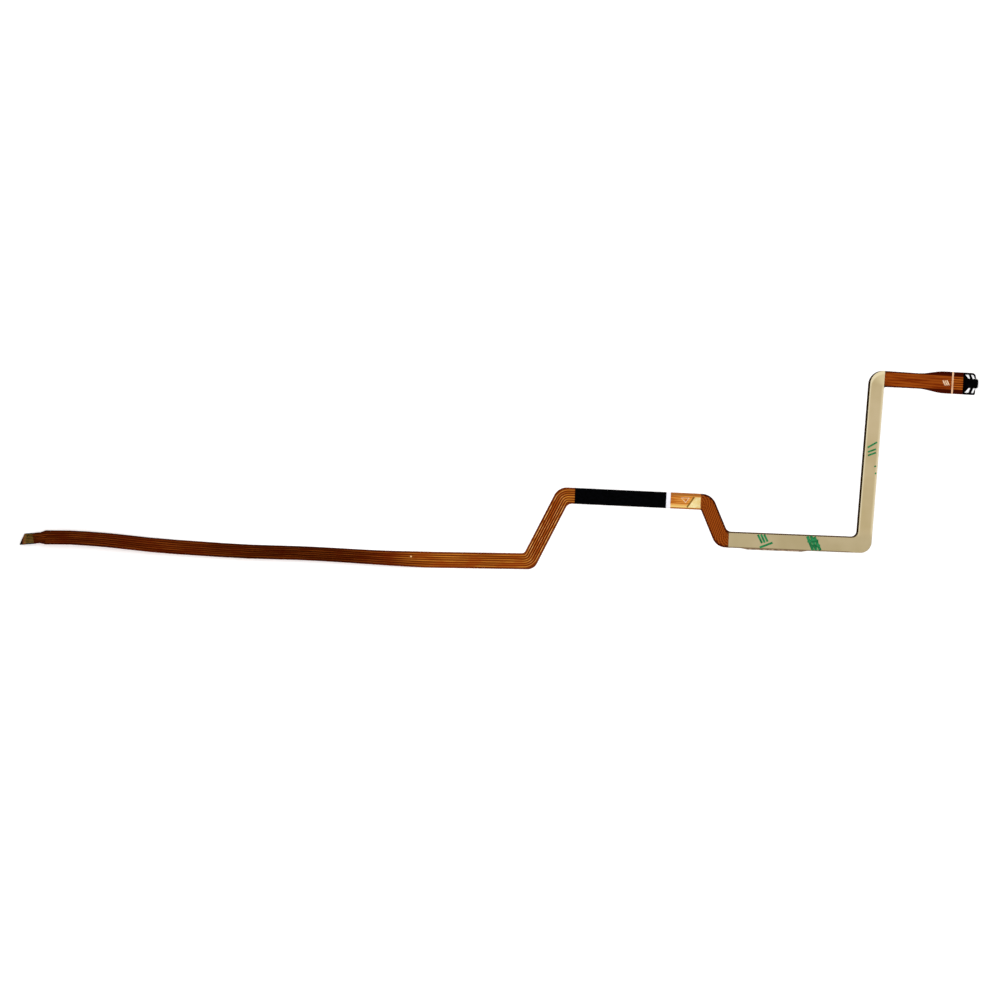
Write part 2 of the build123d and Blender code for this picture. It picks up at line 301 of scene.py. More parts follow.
class Finish:
    """A material with one Principled shader, and short words for the nodes that feed it."""

    def __init__(self, name, roughness, metallic=0.0, specular=0.5, glancing=(1, 1, 1, 1)):
        self.material = bpy.data.materials.new(name)
        self.material.use_nodes = True
        self.tree = self.material.node_tree
        self.shader = self.tree.nodes["Principled BSDF"]
        self.shader.inputs["Roughness"].default_value = roughness
        self.shader.inputs["Metallic"].default_value = metallic
        self.shader.inputs["Specular IOR Level"].default_value = specular
        self.shader.inputs["Specular Tint"].default_value = glancing

    def node(self, kind, **settings):
        made = self.tree.nodes.new(kind)
        for name, value in settings.items():
            setattr(made, name, value)
        return made

    def join(self, source, target):
        self.tree.links.new(source, target)

    def put(self, socket, value):
        """Joins a node's output to a socket, or sets a plain value."""
        if isinstance(value, bpy.types.NodeSocket):
            self.join(value, socket)
        else:
            socket.default_value = value

    def object_place(self):
        return self.node("ShaderNodeTexCoord").outputs["Object"]

    def strip_place(self):
        return self.node("ShaderNodeUVMap", uv_map="strip").outputs["UV"]

    def parts(self, place):
        """The separate X, Y and Z of coordinates."""
        made = self.node("ShaderNodeSeparateXYZ")
        self.join(place, made.inputs["Vector"])
        return made.outputs["X"], made.outputs["Y"], made.outputs["Z"]

    def stretched(self, place, scale):
        """Coordinates scaled along each axis."""
        mapping = self.node("ShaderNodeMapping")
        mapping.inputs["Scale"].default_value = scale
        self.join(place, mapping.inputs["Vector"])
        return mapping.outputs["Vector"]

    def noise(self, place, scale, detail=3.0, roughness=0.5):
        noise = self.node("ShaderNodeTexNoise")
        noise.inputs["Scale"].default_value = scale
        noise.inputs["Detail"].default_value = detail
        noise.inputs["Roughness"].default_value = roughness
        self.join(place, noise.inputs["Vector"])
        return noise.outputs["Fac"]

    def math(self, operation, first, second=0.0):
        made = self.node("ShaderNodeMath", operation=operation)
        self.put(made.inputs[0], first)
        self.put(made.inputs[1], second)
        return made.outputs["Value"]

    def between(self, value, low, high, to_low=0.0, to_high=1.0):
        """The value's place between low and high, smoothed and clamped."""
        made = self.node("ShaderNodeMapRange", interpolation_type="SMOOTHSTEP")
        self.put(made.inputs["Value"], value)
        made.inputs["From Min"].default_value = low
        made.inputs["From Max"].default_value = high
        made.inputs["To Min"].default_value = to_low
        made.inputs["To Max"].default_value = to_high
        return made.outputs["Result"]

    def mix(self, share, first, second, blend="MIX"):
        made = self.node("ShaderNodeMix", data_type="RGBA", blend_type=blend)
        self.put(made.inputs["Factor"], share)
        self.put(made.inputs[COLOUR_A], first)
        self.put(made.inputs[COLOUR_B], second)
        return made.outputs[COLOUR_OUT]

    def painted_lean_shade(self, colour):
        """Deepens a film's colour where the film leans, a painted shade for the longer way that light then
        takes through it.
        """
        *_, upward = self.parts(self.node("ShaderNodeNewGeometry").outputs["Normal"])
        painted_shade = self.mix(1.0, colour, LEAN_SHADE_TINT, "MULTIPLY")
        return self.mix(self.between(upward, LEAN_STARTS, LEAN_ENDS), colour, painted_shade)

    def colour(self, value):
        self.put(self.shader.inputs["Base Color"], value)

    def rough(self, value):
        self.put(self.shader.inputs["Roughness"], value)

    def bump(self, height, distance):
        made = self.node("ShaderNodeBump")
        made.inputs["Strength"].default_value = 1.0
        made.inputs["Distance"].default_value = distance
        self.join(height, made.inputs["Height"])
        self.join(made.outputs["Normal"], self.shader.inputs["Normal"])


print("a screen grey of 128 is", round(tone(128, 128, 128)[0], 3), "as light")

# %% [markdown]
# ## Amber films
#
# Polyimide film is clear amber. What makes it shine is the copper below, which sends light back through
# the film like a tinted mirror. So the film over copper is mostly metallic, in amber, and it goes dark
# where the strip rolls away from the light overhead, where a painted shade deepens it too. Beyond the
# outermost track there is no copper, and the border of the film stays dark.

# %% Tones of the films
BORDER_DARK = tone(52, 9, 2)
BORDER_WARM = tone(76, 18, 3)
EDGE_DARK = tone(96, 34, 6)
EDGE_WARM = tone(132, 62, 18)
FIELD_DARK = tone(90, 29, 4)
FIELD_LIGHT = tone(116, 45, 6)
TRACK_DARK = tone(146, 72, 16)
TRACK_LIGHT = tone(200, 126, 44)
RISE_DARK = tone(158, 74, 18)
# The rise's highlight tone is a painted highlight along each track.
RISE_HIGHLIGHT = tone(250, 196, 116)
RISE_FIELD = tone(82, 24, 4)
PANEL_DARK = tone(136, 56, 10)
PANEL_LIGHT = tone(182, 98, 28)
RED_PATCH = tone(136, 48, 8)
FILM_GLANCING = tone(196, 110, 52)
FILM_ROUGHNESS = 0.26


def amber_film(name):
    """The start of a film's finish: a soft amber mirror."""
    return Finish(name, FILM_ROUGHNESS, metallic=0.95, specular=0.2, glancing=FILM_GLANCING)


print("a track's lighter tone holds", round(TRACK_LIGHT[0] / FIELD_LIGHT[0], 1), "times the field's red")

# %% [markdown]
# Pressed film shows fine streaks along the strip, broad redder patches, and slow waves that break up its
# reflections. A picture of real film could carry them, but it would blur close up. Noise in the strip's own
# coordinates stays sharp and turns with the strip.

# %% Streaks, patches and waves
STREAK_STRETCH = (0.06, 1.6, 1.0)
PATCH_STRETCH = (0.16, 0.3, 1.0)
PATCH_SHARE = 0.55
SLOW_WAVE = 90.0
FINE_TOOTH = 2600.0
TOOTH_SHARE = 0.12
FILM_WAVE_HEIGHT = 0.02 * MM
EDGE_BLUR = 0.06


def streaks(finish, place):
    """Fine streaks along the strip, from a noise that is stretched along U."""
    return finish.noise(finish.stretched(place, STREAK_STRETCH), 1.0, detail=4.0, roughness=0.6)


def patches(finish, place):
    """Broad patches along the strip, where the film is a little redder."""
    broad = finish.noise(finish.stretched(place, PATCH_STRETCH), 1.0, 2.0)
    return finish.between(broad, 0.46, 0.66, 0.0, PATCH_SHARE)


def film_wave(finish):
    """Slow waves in the film and a fine tooth, which break up its reflections."""
    place = finish.object_place()
    slow = finish.noise(place, SLOW_WAVE, detail=2.0)
    fine = finish.noise(place, FINE_TOOTH, detail=2.0)
    finish.bump(finish.math("ADD", finish.math("MULTIPLY", fine, TOOTH_SHARE), slow), FILM_WAVE_HEIGHT)


def film_rough(finish, place, spread):
    """Roughness of a film, which the streaks vary a little."""
    grain = streaks(finish, place)
    finish.rough(finish.between(grain, *WEAR_RANGE, FILM_ROUGHNESS - 0.05, FILM_ROUGHNESS + spread))


def within(finish, across, edge):
    """1 nearer the middle line than an edge, 0 beyond it."""
    distance = finish.math("ABSOLUTE", across)
    return finish.between(distance, edge + EDGE_BLUR, edge - EDGE_BLUR)


def on_rise(finish, along):
    """1 on the rise, where the tracks stand out most, 0 elsewhere, with a few millimetres between."""
    after = finish.between(along, RISE_AT - 3, RISE_AT + 2)
    return finish.math("MULTIPLY", after, finish.between(along, UPPER_AT, UPPER_AT - 5))


print("the rise goes from", round(RISE_AT, 1), "to", round(UPPER_AT, 1), "mm along the strip")

# %% [markdown]
# The cover film has two finishes. Between the tracks it is a deep amber field with a warm border, and over
# a track it is brighter. On the rise the tracks stand out most: there a sine across the strip draws a
# painted highlight along each track, and the field between them is darker. On the head they are a little
# darker and have no patches.

# %% Finishes of the cover film
FIELD_EDGE = 1.9
TRACK_PITCH = 0.65


def cover_finish():
    """Cover film: warm border, amber field between the tracks."""
    finish = amber_film("cover_film")
    place = finish.strip_place()
    along, across, _ = finish.parts(place)
    grain = finish.between(streaks(finish, place), *GRAIN_RANGE)
    head = finish.between(along, HEAD_AT - 1, HEAD_AT + 1)
    edge = finish.mix(grain, EDGE_DARK, EDGE_WARM)
    border = finish.mix(head, edge, finish.mix(grain, BORDER_DARK, BORDER_WARM))
    field = finish.mix(patches(finish, place), finish.mix(grain, FIELD_DARK, FIELD_LIGHT), RED_PATCH)
    field = finish.mix(on_rise(finish, along), field, RISE_FIELD)
    finish.colour(finish.painted_lean_shade(finish.mix(within(finish, across, FIELD_EDGE), border, field)))
    film_rough(finish, place, 0.06)
    film_wave(finish)
    return finish.material


def track_finish():
    """Cover film where it rides over a track, brighter than beside it."""
    finish = amber_film("cover_over_track")
    place = finish.strip_place()
    grain = finish.between(streaks(finish, place), *GRAIN_RANGE)
    lit = finish.mix(patches(finish, place), finish.mix(grain, TRACK_DARK, TRACK_LIGHT), RED_PATCH)
    along, across, _ = finish.parts(place)
    # On the rise a sine across the strip and a noise draw a painted highlight along each track.
    swing = finish.math("SINE", finish.math("MULTIPLY", across, 2 * math.pi / TRACK_PITCH))
    ridge = finish.between(finish.math("ABSOLUTE", swing), 0.96, 0.55)
    glint_share = finish.between(finish.noise(finish.stretched(place, (0.5, 1.2, 1.0)), 1.0, 2.0), 0.38, 0.58)
    line = finish.mix(glint_share, finish.mix(grain, TRACK_DARK, TRACK_LIGHT), RISE_HIGHLIGHT)
    lit = finish.mix(on_rise(finish, along), lit, finish.mix(ridge, RISE_DARK, line))
    panel = finish.mix(grain, PANEL_DARK, PANEL_LIGHT)
    lit = finish.mix(finish.between(along, HEAD_AT, HEAD_AT + 1), lit, panel)
    finish.colour(finish.painted_lean_shade(lit))
    film_rough(finish, place, 0.04)
    film_wave(finish)
    return finish.material


COVER = cover_finish()
TRACK = track_finish()
print("film finishes:", COVER.name, "and", TRACK.name)

# %% [markdown]
# ## Cover film
#
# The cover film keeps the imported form. Its bends are cut into short wedges, so that the UV map turns with
# the strip instead of cutting the corner.

# %% Wedges through the bends
WEDGE_DEGREES = 8.0


def cut_across(shape, place, way):
    """Cuts all faces by an upright plane."""
    everything = shape.verts[:] + shape.edges[:] + shape.faces[:]
    bmesh.ops.bisect_plane(
        shape,
        geom=everything,
        dist=MERGE,
        plane_co=(place.x * MM, place.y * MM, 0),
        plane_no=(way.x, way.y, 0),
    )


def cut_bends(shape):
    """Cuts a film across every bend, at its ends and in between."""
    for centre, angle, turn, *_ in bends:
        wedges = math.ceil(abs(turn) / WEDGE_DEGREES)
        for n in range(wedges + 1):
            cut_across(shape, centre, heading(angle + turn * n / wedges))


print("bends to cut:", len(bends))

# %% [markdown]
# The free stretch is twisted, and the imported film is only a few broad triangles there, which would show as
# facets in a reflection. A subdivision surface would smooth them, but it would round the comb below too. So
# pairs of broad triangles become quads, and the quads are split into lanes that follow the twist.

# %% Lanes on the free stretch
LANES = 14
WIDEST_LANE = 4.0
CROSS_EDGE_REACH = 1.0
TWIST_LIMIT = math.radians(25)


def lanes(shape):
    """Splits the broad twisted faces of the free stretch lengthwise, so that they follow the twist."""
    diagonals = []
    for edge in shape.edges:
        pair = [face for face in edge.link_faces if len(face.verts) == 3]
        longest = [max(face.edges, key=lambda side: side.calc_length()) for face in pair]
        free = max(vert.co.x for vert in edge.verts) < flat_start.x * MM + MERGE
        if len(pair) == 2 and longest == [edge, edge] and free and edge.calc_face_angle() < TWIST_LIMIT:
            diagonals.append(edge)
    bmesh.ops.dissolve_edges(shape, edges=diagonals)
    broad = [edge for edge in shape.edges if edge.calc_length() > WIDEST_LANE * MM]
    reach = CROSS_EDGE_REACH * MM
    across = [edge for edge in broad if abs(edge.verts[0].co.x - edge.verts[1].co.x) < reach]
    free_across = [edge for edge in across if min(vert.co.x for vert in edge.verts) < flat_start.x * MM]
    bmesh.ops.subdivide_edges(shape, edges=free_across, cuts=LANES - 1, use_grid_fill=True)


cover = copy_of("coverlay", join_flat=False)
lanes(cover)
cut_bends(cover)
unroll(cover)
cover_film = finished(cover, "cover_film", [COVER], stands_for=["coverlay"])

# %% [markdown]
# ## Ribs over the tracks
#
# A cover film is pressed down between the tracks and stands up over them. Each rib is the track's own
# form, raised through the film until it stands a little above it, with its upper edges bevelled.

# %% Ribs
COVER_OVER_COPPER = 0.045
RIB_HEIGHT = 0.02
RIB_BEVEL = 0.07
RIB_SETBACK = 0.02
TAIL_HEADING = 6.3
TAIL_DIP = 12.0
UP_AT_LEAST = 0.7
band_x = middle_of("printed_band").x
line_x = middle_of("printed_line").x
tail_way = Vector((1, 0, 0))
tail_way.rotate(Matrix.Rotation(math.radians(TAIL_DIP), 3, "Y"))
tail_way.rotate(Matrix.Rotation(math.radians(TAIL_HEADING), 3, "Z"))
cover_end = min((v.co for v in nodes["coverlay"].data.vertices), key=lambda p: p.dot(tail_way))


def raise_layer(shape, lift):
    """Moves a thin layer along its own upward direction, which tilts where the strip rolls."""
    ups = {}
    for vert in shape.verts:
        up = Vector((0, 0, 0))
        for face in vert.link_faces:
            if abs(face.normal.z) > UP_AT_LEAST:
                up += face.normal * math.copysign(1, face.normal.z)
        ups[vert] = up.normalized()
    for vert, up in ups.items():
        vert.co += up * lift * MM


def trim(shape, place, way):
    """Cuts away what lies before a plane and closes the cut."""
    everything = shape.verts[:] + shape.edges[:] + shape.faces[:]
    bmesh.ops.bisect_plane(
        shape, geom=everything, dist=MERGE, plane_co=place, plane_no=way, clear_inner=True
    )
    rim = [edge for edge in shape.edges if edge.is_boundary]
    bmesh.ops.holes_fill(shape, edges=rim)


def bevel(shape, edges, width, segments):
    """Bevels edges by a width in millimetres."""
    bmesh.ops.bevel(
        shape,
        geom=edges,
        offset=width * MM,
        offset_type="OFFSET",
        affect="EDGES",
        segments=segments,
        profile=0.5,
        material=-1,
        clamp_overlap=True,
    )


def bevel_top(shape, width):
    """Bevels the long upper edges of a layer."""
    edges = []
    for edge in shape.edges:
        if len(edge.link_faces) == 2:
            ups = sorted(face.normal.z for face in edge.link_faces)
            if ups[1] > UP_AT_LEAST and abs(ups[0]) < UP_AT_LEAST:
                edges.append(edge)
    bevel(shape, edges, width, segments=1)


def rib_parts(number, pieces, lift):
    """One track's ribs: each part is kept between two planes, given as (place, way)."""
    whole = bmesh.new()
    for planes in pieces:
        part = copy_of(f"conductor_{number}")
        raise_layer(part, lift)
        for place, way in planes:
            trim(part, place, way)
        mesh = bpy.data.meshes.new("part")
        part.to_mesh(mesh)
        part.free()
        whole.from_mesh(mesh)
        bpy.data.meshes.remove(mesh)
    whole.normal_update()
    bevel_top(whole, RIB_BEVEL)
    unroll(whole)
    return whole


AHEAD = Vector((1, 0, 0))
lead_start = cover_end + tail_way * RIB_SETBACK * MM
lead_planes = [(lead_start, tail_way), (Vector((band_x * MM, 0, 0)), -AHEAD)]
panel_planes = [(Vector((line_x * MM, 0, 0)), AHEAD)]
for number in range(1, 7):
    rib = rib_parts(number, [lead_planes, panel_planes], COVER_OVER_COPPER + RIB_HEIGHT)
    finished(rib, f"track_rib_{number}", [TRACK])

# %% [markdown]
# ## Film over the ground mesh
#
# From the white band round to the head, a hatched sheet of copper lies over the tracks. Its fine diagonal
# lines show through the amber mask. They run at 45 degrees to the strip and turn with it, so they are
# drawn in U and V.


# %% Hatching of the ground mesh
HATCH_PITCH = 0.62
FAINT_SHARE = 0.35


def hatch(finish, along, across):
    """Two families of diagonal lines, one fainter than the other: 1 on a line and 0 between."""
    lines = []
    for operation in ("ADD", "SUBTRACT"):
        slant = finish.math(operation, along, across)
        phase = finish.math("MULTIPLY", slant, 2 * math.pi / (HATCH_PITCH * math.sqrt(2)))
        lines.append(finish.between(finish.math("SINE", phase), 0.1, 0.9))
    strong, faint = lines
    return finish.math("MAXIMUM", strong, finish.math("MULTIPLY", faint, FAINT_SHARE))


print("hatch lines are", HATCH_PITCH, "mm apart")

# %% [markdown]
# The mask film changes along its way: painted bright by the band, a painted highlight, then hatched on the
# fall, and streaked like wood on the head. It could be cut into three pieces, but on the real cable it is
# one film. So it keeps one finish, and the place along the strip chooses between the three looks.

# %% Finish of the mask film
PAD_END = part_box("ground_pad")[1].x
PAD_BLUR = 0.2 * MM
TAPED_FIELD_EDGE = 1.6
WOOD_STRETCH = (0.10, 2.4, 1.0)


def mask_finish():
    """Amber mask over the ground mesh: a painted highlight by the band, hatched on the fall, streaked on the
    head.
    """
    finish = amber_film("mesh_mask_film")
    place = finish.strip_place()
    along, across, _ = finish.parts(place)
    frame_x, *_ = finish.parts(finish.object_place())
    by_pad = finish.between(frame_x, PAD_END + PAD_BLUR, PAD_END)
    grain = finish.between(streaks(finish, place), 0.38, 0.62)
    lines = hatch(finish, along, across)
    hatched = finish.mix(lines, finish.mix(grain, tone(98, 34, 4), tone(120, 48, 8)), tone(160, 80, 24))
    wood = finish.noise(finish.stretched(place, WOOD_STRETCH), 1.0, 5.0, 0.6)
    streaked = finish.mix(finish.between(wood, 0.36, 0.62), tone(110, 34, 4), tone(156, 74, 18))
    # By the pad the film gets a painted highlight: bright yellow, paler towards one edge, with a lighter
    # border.
    pad_highlight = finish.mix(finish.between(wood, 0.36, 0.64), tone(176, 92, 24), tone(236, 162, 74))
    highlight_by_pad = finish.mix(finish.between(across, -0.7, -1.8), pad_highlight, tone(244, 204, 122))
    highlight_by_pad = finish.mix(finish.between(across, 1.25, 1.6), highlight_by_pad, tone(168, 104, 44))
    field = finish.mix(finish.between(along, HEAD_AT - 1, HEAD_AT + 1), hatched, streaked)
    field = finish.mix(by_pad, field, highlight_by_pad)
    after_fall = finish.between(along, TAPED_AT - 1, TAPED_AT + 1)
    taped = finish.math("MULTIPLY", after_fall, finish.between(along, HEAD_AT + 1, HEAD_AT - 1))
    wide = within(finish, across, FIELD_EDGE)
    narrow = within(finish, across, TAPED_FIELD_EDGE)
    untaped = finish.math("SUBTRACT", 1.0, taped)
    copper_below = finish.math("MULTIPLY", wide, finish.math("MAXIMUM", narrow, untaped))
    upright = finish.between(along, UPRIGHT_AT - 6, UPRIGHT_AT)
    by_tape = finish.mix(upright, tone(78, 58, 34), tone(38, 26, 11))
    dark_edge = finish.mix(taped, finish.mix(grain, BORDER_DARK, BORDER_WARM), by_tape)
    border = finish.mix(by_pad, dark_edge, tone(170, 100, 40))
    finish.colour(finish.mix(copper_below, border, field))
    finish.rough(finish.between(wood, *WEAR_RANGE, FILM_ROUGHNESS - 0.04, FILM_ROUGHNESS + 0.1))
    finish.bump(lines, 0.008 * MM)
    return finish.material


mask = copy_of("mesh_mask")
cut_bends(mask)
unroll(mask)
finished(mask, "mask_film", [mask_finish()], stands_for=["mesh_mask"])


# %% [markdown]
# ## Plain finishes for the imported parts
#
# The rest of the parts keep their packed forms. Each gets a finish with its own grain: two near tones mixed
# by a noise, a roughness that wanders a little, and a fine bump.


# %% A speckled finish, and a way to give it
def speckled(name, dark, light, scale, roughness, metallic=0.0, specular=0.5, bump=0.01):
    """Two tones mixed by noise, with a fine bump."""
    finish = Finish(name, roughness, metallic, specular)
    place = finish.object_place()
    finish.colour(finish.mix(finish.between(finish.noise(place, scale, 4.0), *GRAIN_RANGE), dark, light))
    worn = finish.noise(place, scale * 2, 2.0)
    finish.rough(finish.between(worn, *WEAR_RANGE, roughness - 0.06, roughness + 0.08))
    finish.bump(finish.noise(place, scale * 4, 3.0), bump * MM)
    return finish.material


def dress(material, *names):
    """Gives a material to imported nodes."""
    for name in names:
        nodes[name].data.materials.clear()
        nodes[name].data.materials.append(material)
    print(material.name, "on", *names)


# %% [markdown]
# The base film carries everything. From above it shows on the contact tail, where the stiffener below makes
# it dark, with a copper-red rim where the contacts stop. The mirror of the other films would glare on its
# edges and underside, so this film is a plain matt amber.

# %% Base film
RIM_START = cad_low.x + 0.7 * MM
RIM_END = cad_low.x + 1.75 * MM
RIM_FADE = 0.3 * MM
TAIL_END = cover_end.x
TAIL_BLUR = 0.2 * MM


def base_finish():
    """Base film: dark on the contact tail, with a copper-red rim where the contacts stop."""
    finish = Finish("base_film_amber", 0.6, metallic=0.0, specular=0.04)
    frame_x, *_ = finish.parts(finish.object_place())
    grain = finish.between(finish.noise(finish.object_place(), 400.0, 3.0), *GRAIN_RANGE)
    tail = finish.mix(grain, tone(14, 8, 4), tone(34, 21, 9))
    rim = finish.mix(finish.between(frame_x, RIM_START, RIM_START + RIM_FADE), tail, tone(104, 54, 28))
    rim = finish.mix(finish.between(frame_x, RIM_END - RIM_FADE / 2, RIM_END + RIM_FADE / 2), rim, tail)
    amber = finish.mix(grain, tone(112, 50, 12), tone(146, 74, 22))
    past_tail = finish.between(frame_x, TAIL_END - TAIL_BLUR, TAIL_END + TAIL_BLUR)
    finish.colour(finish.mix(past_tail, rim, amber))
    finish.bump(grain, 0.005 * MM)
    return finish.material


dress(base_finish(), "base_film")

# %% [markdown]
# Contacts and pad are gold over copper, so they are metal. Ink, cloth, tape and mould are not, and a low
# specular keeps the blacks black under the bright sky. One call makes each of them.

# %% Metals, inks, tape and mould
gold = speckled("gold_contacts", tone(186, 140, 60), tone(206, 160, 78), 300.0, 0.30, metallic=1.0)
pad_gold = speckled("gold_pad", tone(238, 208, 136), tone(255, 242, 188), 700.0, 0.34, metallic=0.9)
copper = speckled("ground_copper", tone(170, 96, 60), tone(200, 120, 76), 500.0, 0.35, metallic=1.0)
stiffener = speckled("stiffener_brown", tone(30, 20, 12), tone(50, 34, 20), 300.0, 0.5)
black = speckled("black_strip_cloth", tone(2, 2, 2), tone(5, 5, 7), 1800.0, 0.8, specular=0.01, bump=0.03)
white = speckled("white_ink", tone(226, 225, 231), tone(238, 237, 243), 600.0, 0.6, specular=0.0)
line_white = speckled("line_ink", tone(200, 154, 116), tone(228, 186, 148), 600.0, 0.6, specular=0.1)
tape = speckled("tape_film", tone(104, 84, 62), tone(168, 142, 118), 900.0, 0.5, specular=0.1)
mould = speckled("black_mould", tone(1, 1, 1), tone(5, 5, 6), 900.0, 0.45, specular=0.01)
plate = speckled("black_plate", tone(1, 1, 1), tone(5, 4, 5), 700.0, 0.6, specular=0.01)
# The tin is painted near pure white, a painted glint that stands in for the glare off the terminals.
tin = speckled("tinned_metal", tone(242, 242, 244), tone(255, 255, 255), 1200.0, 0.35, metallic=0.3)

dress(gold, *[f"conductor_{n}" for n in range(1, 7)])
dress(copper, "ground_mesh")
dress(stiffener, "tail_stiffener")
dress(white, "printed_band")
dress(line_white, "printed_line")
dress(tape, "double_sided_tape")

# %% [markdown]
# ## Softened parts
#
# Real cloth, mould and tin have no razor edges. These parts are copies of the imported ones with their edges
# bevelled, and they stand in for them.


# %% Parts with soft edges
def soften(shape, width):
    """Bevels all sharp edges of a part."""
    closed = [edge for edge in shape.edges if len(edge.link_faces) == 2]
    sharp = [edge for edge in closed if edge.calc_face_angle() > SMOOTH_BELOW]
    bevel(shape, sharp, width, segments=2)


for name, slot, material, width in (
    ("black_strip", "black_fabric", black, 0.06),
    ("ground_pad", "gold_plating", pad_gold, 0.008),
    ("head_plate", "black_mould", plate, 0.05),
    ("connector_body", "black_mould", mould, 0.05),
    ("terminal_1", "tinned_metal", tin, 0.05),
    ("terminal_2", "tinned_metal", tin, 0.05),
    ("terminal_3", "tinned_metal", tin, 0.05),
    ("terminal_4", "tinned_metal", tin, 0.05),
):
    part = copy_of(name)
    soften(part, width)
    finished(part, f"soft_{name}", [material], stands_for=[name])

# %% [markdown]
# ## Paper liner
#
# The liner is tan release paper. A gloss would mirror the bright sky and whiten it, so it is kept matt. The
# taped run is a painted shade darker than the upright, the edges of the upright carry a painted highlight,
# and on the taped run the lower edge is painted a darker brown.


# %% Liner
def paper_finish():
    """Tan paper: a painted shade on the taped run, a painted highlight along the edges of the upright,
    lighter towards the head, and darker brown along the lower edge of the taped run.
    """
    finish = Finish("liner_paper", 0.7, specular=0.1)
    along, across, _ = finish.parts(finish.strip_place())
    cloud = finish.between(finish.noise(finish.object_place(), 90.0, 3.0), *WEAR_RANGE)
    upright = finish.between(along, UPRIGHT_AT - 1, UPRIGHT_AT + 2)
    # The taped run's sheet is a painted shade darker than the upright's.
    shaded = finish.mix(cloud, tone(168, 152, 114), tone(180, 164, 128))
    sheet = finish.mix(upright, shaded, finish.mix(cloud, tone(178, 160, 120), tone(190, 172, 136)))
    # Along the edges of the upright the paper is painted lighter, a painted highlight.
    light = finish.between(across, -1.5, -2.3)
    left_edge_highlight = finish.between(across, 1.15, 1.65)
    edges = finish.math("MULTIPLY", finish.math("MAXIMUM", light, left_edge_highlight), upright)
    sheet = finish.mix(edges, sheet, tone(216, 202, 166))
    top = finish.between(along, HEAD_AT - 3.5, HEAD_AT - 0.5)
    sheet = finish.mix(finish.math("MULTIPLY", top, 0.6), sheet, tone(222, 206, 164))
    taped_run = finish.between(along, UPRIGHT_AT - 4, UPRIGHT_AT - 6)
    brown = finish.math("MULTIPLY", finish.between(across, -1.94, -2.14), taped_run)
    finish.colour(finish.mix(finish.math("MULTIPLY", brown, 0.8), sheet, tone(96, 72, 44)))
    finish.bump(finish.noise(finish.object_place(), 1500.0, 3.0), 0.006 * MM)
    return finish.material


liner = copy_of("release_liner")
bevel_top(liner, 0.03)
cut_bends(liner)
unroll(liner)
finished(liner, "liner_sheet", [paper_finish()], stands_for=["release_liner"])

# %% [markdown]
# ## Ink marks
#
# The liner, the head and the film by the pad carry small printed marks. They are kept as plain strokes, and
# they spell nothing. Each stroke is a thin bar between two places on its run.

# %% Strokes
INK = 0.012
OVER_INK = 0.002


def stroke(shape, start, end, width, height):
    """A thin bar of ink between two points in plan, on a surface at a height; all in millimetres."""
    way = end - start
    middle = (start + end) / 2
    place = Matrix.Translation((middle.x * MM, middle.y * MM, (height + INK / 2) * MM))
    turn = Matrix.Rotation(math.atan2(way.y, way.x), 4, "Z")
    size = Matrix.Diagonal(((way.length + width) * MM, width * MM, INK * MM, 1))
    bmesh.ops.create_cube(shape, size=1.0, matrix=place @ turn @ size)


def ink(name, tones, below, run, width, strokes):
    """One mark: strokes given as (along, across) pairs on a run, on top of a packed layer."""
    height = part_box(below)[1].z / MM
    shape = bmesh.new()
    for layer, (start, end) in enumerate(strokes):
        stroke(shape, on_run(run, *start), on_run(run, *end), width, height + layer * OVER_INK)
    material = speckled(f"{name}_ink", *tones, 1500.0, 0.5, specular=0.1)
    finished(shape, name, [material])


print("a stroke is", INK, "mm thick, and each lies", OVER_INK, "mm over the last")

# %% [markdown]
# The places of a stroke are along and across its run, in millimetres, so the marks follow the strip like
# real print. They are green on the liner, pale on the head, and pale and brown by the pad.

# %% Marks
GREEN = (tone(18, 96, 52), tone(40, 132, 78))
PALE = (tone(214, 176, 140), tone(240, 214, 180))
ink("liner_mark_1", GREEN, "release_liner", TAPED, 0.6, [
    ((10.5, 1.5), (11.5, -0.4)),
    ((11.4, 1.6), (12.3, -0.2)),
    ((12.3, 1.6), (13.1, 0.1)),
    ((11.3, -1.8), (14.4, -0.5)),
])
ink("liner_mark_2", GREEN, "release_liner", TAPED, 0.85, [
    ((24.8, 1.5), (26.2, -1.7)),
    ((25.8, 1.6), (27.2, -1.7)),
    ((26.8, 1.4), (28.3, -1.7)),
    ((25.1, 0.5), (27.4, 0.6)),
    ((26.0, -0.9), (28.0, -0.8)),
])
ink("liner_mark_3", GREEN, "release_liner", UPRIGHT, 0.5, [
    ((28.2, 0.8), (29.7, -1.4)),
    ((26.9, 0.6), (27.7, -1.2)),
    ((25.9, 0.5), (26.7, -1.3)),
])
ink("liner_mark_4", GREEN, "release_liner", UPRIGHT, 0.4, [
    ((22.8, -1.5), (22.9, -1.7)),
    ((20.8, -1.85), (20.9, -1.9)),
])
ink("head_mark", PALE, "mesh_mask", HEAD, 0.34, [
    ((19.2, 0.4), (19.8, -0.7)),
    ((19.75, 0.45), (20.35, -0.65)),
    ((20.3, 0.5), (20.9, -0.6)),
])
ink("corner_mark", PALE, "mesh_mask", UPPER, 0.15, [
    ((34.0, 0.85), (36.3, 0.93)),
    ((36.3, 0.93), (35.3, -0.4)),
    ((35.3, -0.4), (34.0, 0.85)),
])
ink("copper_dot", (tone(136, 44, 20), tone(166, 66, 34)), "mesh_mask", UPPER, 0.5, [
    ((35.5, 0.2), (35.55, 0.2)),
])
ink("pad_border", (tone(104, 78, 26), tone(140, 108, 42)), "mesh_mask", UPPER, 0.38, [
    ((35.85, -1.65), (37.6, 1.1)),
])

# %% [markdown]
# ## Test dot
#
# A small bright dot sits on the free stretch. The film is twisted there, so a height read off a drawing
# would sink the dot or leave it hanging. A ray is dropped on the cover film from above instead, and the dot
# is set just over the point that it hits, square to the face.

